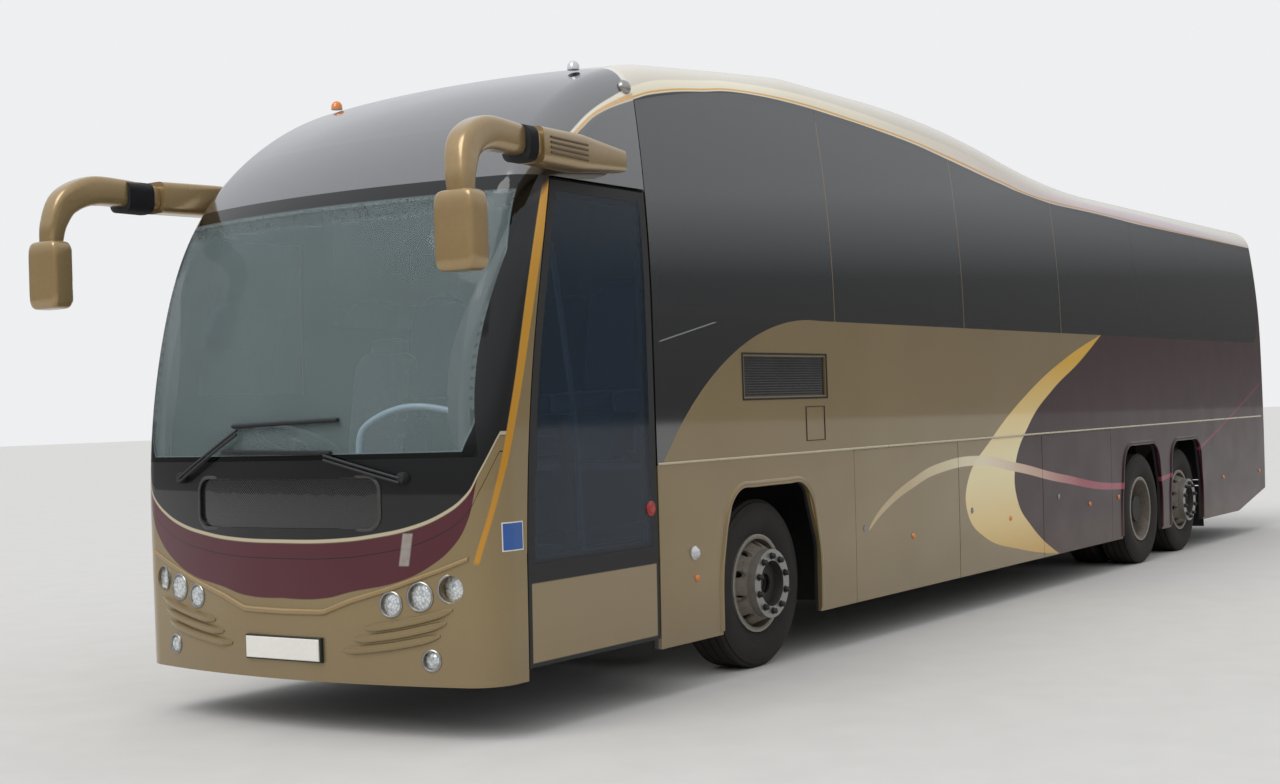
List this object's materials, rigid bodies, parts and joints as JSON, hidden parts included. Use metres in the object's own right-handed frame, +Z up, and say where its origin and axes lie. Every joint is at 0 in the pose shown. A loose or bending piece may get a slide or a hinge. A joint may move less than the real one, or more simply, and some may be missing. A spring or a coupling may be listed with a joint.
{
  "type": "three-axle touring coach",
  "caption": "Three-axle touring coach with a raised black front dome, gold and maroon paint, plug door, side lockers and twin drive tyres",
  "frame": {"origin": "on the ground under the middle of the whole length and width", "axes": "+X forward, +Y to the left (door) side, +Z up"},
  "size_m": [14.846, 3.172, 3.749],
  "materials": {
    "body_paint": "champagne gold paint",
    "dome_black": "gloss black",
    "black_trim": "black moulding",
    "window_glass": "dark tinted glass",
    "screen_glass": "clear laminated glass",
    "lamp_lens": "clear lens",
    "display_glass": "dark display glass",
    "chassis_black": "chassis black",
    "cast_grey": "bare casting",
    "wheel_silver": "silver wheel paint",
    "tyre_rubber": "tyre rubber",
    "floor_vinyl": "floor covering",
    "dash_plastic": "dashboard moulding",
    "seat_fabric": "seat moquette"
  },
  "bodies": {
    "body": {"roof_panel": "body_paint", "front_dome": "dome_black", "windscreen": "screen_glass", "front_panel": "body_paint", "front_bumper": "body_paint", "side_wall_left": "body_paint", "side_wall_right": "body_paint", "side_glass_left": "window_glass", "side_glass_right": "window_glass", "skirt_left": "body_paint", "skirt_right": "body_paint", "rear_panel": "body_paint", "rear_window": "window_glass", "rear_bumper": "body_paint", "lamps": "lamp_lens", "displays": "display_glass", "chassis_frame": "chassis_black", "luggage_hold": "chassis_black", "floor_deck": "floor_vinyl", "engine_block": "cast_grey", "front_axle": "chassis_black", "drive_axle": "chassis_black", "tag_axle": "chassis_black", "mirror_left": "body_paint", "mirror_right": "body_paint", "wipers": "black_trim", "dashboard": "dash_plastic", "steering_wheel": "dash_plastic", "driver_seat": "seat_fabric", "passenger_seats": "seat_fabric"},
    "luggage_door_left_1": {"luggage_door_left_1": "body_paint"},
    "luggage_door_left_2": {"luggage_door_left_2": "body_paint"},
    "luggage_door_left_3": {"luggage_door_left_3": "body_paint"},
    "knuckle_left": {"knuckle_left": "cast_grey"},
    "wheel_front_left": {"wheel_front_left": "wheel_silver", "tyre_front_left": "tyre_rubber"},
    "wheel_drive_left": {"wheel_drive_left": "wheel_silver", "tyre_drive_left": "tyre_rubber"},
    "wheel_tag_left": {"wheel_tag_left": "wheel_silver", "tyre_tag_left": "tyre_rubber"},
    "luggage_door_right_1": {"luggage_door_right_1": "body_paint"},
    "luggage_door_right_2": {"luggage_door_right_2": "body_paint"},
    "luggage_door_right_3": {"luggage_door_right_3": "body_paint"},
    "knuckle_right": {"knuckle_right": "cast_grey"},
    "wheel_front_right": {"wheel_front_right": "wheel_silver", "tyre_front_right": "tyre_rubber"},
    "wheel_drive_right": {"wheel_drive_right": "wheel_silver", "tyre_drive_right": "tyre_rubber"},
    "wheel_tag_right": {"wheel_tag_right": "wheel_silver", "tyre_tag_right": "tyre_rubber"},
    "engine_lid": {"engine_lid": "body_paint"},
    "door_arm": {"door_arm": "black_trim"},
    "door_leaf": {"door_leaf": "black_trim", "door_glass": "screen_glass"}
  },
  "joints": [
    {"name": "luggage_left_1_lift", "type": "hinge", "parent": "body", "child": "luggage_door_left_1", "pos_m": [2.2666, 1.27, 1.284], "axis": [1, 0, 0], "range_deg": [0, 85]},
    {"name": "luggage_left_2_lift", "type": "hinge", "parent": "body", "child": "luggage_door_left_2", "pos_m": [0.5719, 1.27, 1.284], "axis": [1, 0, 0], "range_deg": [0, 85]},
    {"name": "luggage_left_3_lift", "type": "hinge", "parent": "body", "child": "luggage_door_left_3", "pos_m": [-1.1228, 1.27, 1.284], "axis": [1, 0, 0], "range_deg": [0, 85]},
    {"name": "steer_left", "type": "hinge", "parent": "body", "child": "knuckle_left", "pos_m": [4.22, 0.8, 0.515], "axis": [0, 0, 1], "range_deg": [-38, 38]},
    {"name": "roll_front_left", "type": "hinge", "parent": "knuckle_left", "child": "wheel_front_left", "pos_m": [4.22, 1.021, 0.515], "axis": [0, 1, 0], "continuous": true},
    {"name": "roll_drive_left", "type": "hinge", "parent": "body", "child": "wheel_drive_left", "pos_m": [-2.83, 1.11, 0.515], "axis": [0, 1, 0], "continuous": true},
    {"name": "roll_tag_left", "type": "hinge", "parent": "body", "child": "wheel_tag_left", "pos_m": [-4.23, 1.055, 0.515], "axis": [0, 1, 0], "continuous": true},
    {"name": "luggage_right_1_lift", "type": "hinge", "parent": "body", "child": "luggage_door_right_1", "pos_m": [2.2666, -1.27, 1.284], "axis": [-1, 0, 0], "range_deg": [0, 85]},
    {"name": "luggage_right_2_lift", "type": "hinge", "parent": "body", "child": "luggage_door_right_2", "pos_m": [0.5719, -1.27, 1.284], "axis": [-1, 0, 0], "range_deg": [0, 85]},
    {"name": "luggage_right_3_lift", "type": "hinge", "parent": "body", "child": "luggage_door_right_3", "pos_m": [-1.1228, -1.27, 1.284], "axis": [-1, 0, 0], "range_deg": [0, 85]},
    {"name": "steer_right", "type": "hinge", "parent": "body", "child": "knuckle_right", "pos_m": [4.22, -0.8, 0.515], "axis": [0, 0, 1], "range_deg": [-38, 38]},
    {"name": "roll_front_right", "type": "hinge", "parent": "knuckle_right", "child": "wheel_front_right", "pos_m": [4.22, -1.021, 0.515], "axis": [0, 1, 0], "continuous": true},
    {"name": "roll_drive_right", "type": "hinge", "parent": "body", "child": "wheel_drive_right", "pos_m": [-2.83, -1.11, 0.515], "axis": [0, 1, 0], "continuous": true},
    {"name": "roll_tag_right", "type": "hinge", "parent": "body", "child": "wheel_tag_right", "pos_m": [-4.23, -1.055, 0.515], "axis": [0, 1, 0], "continuous": true},
    {"name": "engine_lid_lift", "type": "hinge", "parent": "body", "child": "engine_lid", "pos_m": [-7.42, 0, 1.244], "axis": [0, 1, 0], "range_deg": [0, 80]},
    {"name": "door_swing", "type": "hinge", "parent": "body", "child": "door_arm", "pos_m": [6.6, 1.15, 1.1], "axis": [0, 0, 1], "range_deg": [-150, 0]},
    {"name": "door_level", "type": "hinge", "parent": "door_arm", "child": "door_leaf", "pos_m": [6.233, 1.11, 1.1], "axis": [0, 0, 1], "range_deg": [0, 150]}
  ],
  "couplings": [
    {"joint": "steer_right", "follows": "steer_left", "ratio": 1},
    {"joint": "door_level", "follows": "door_swing", "ratio": -1}
  ]
}
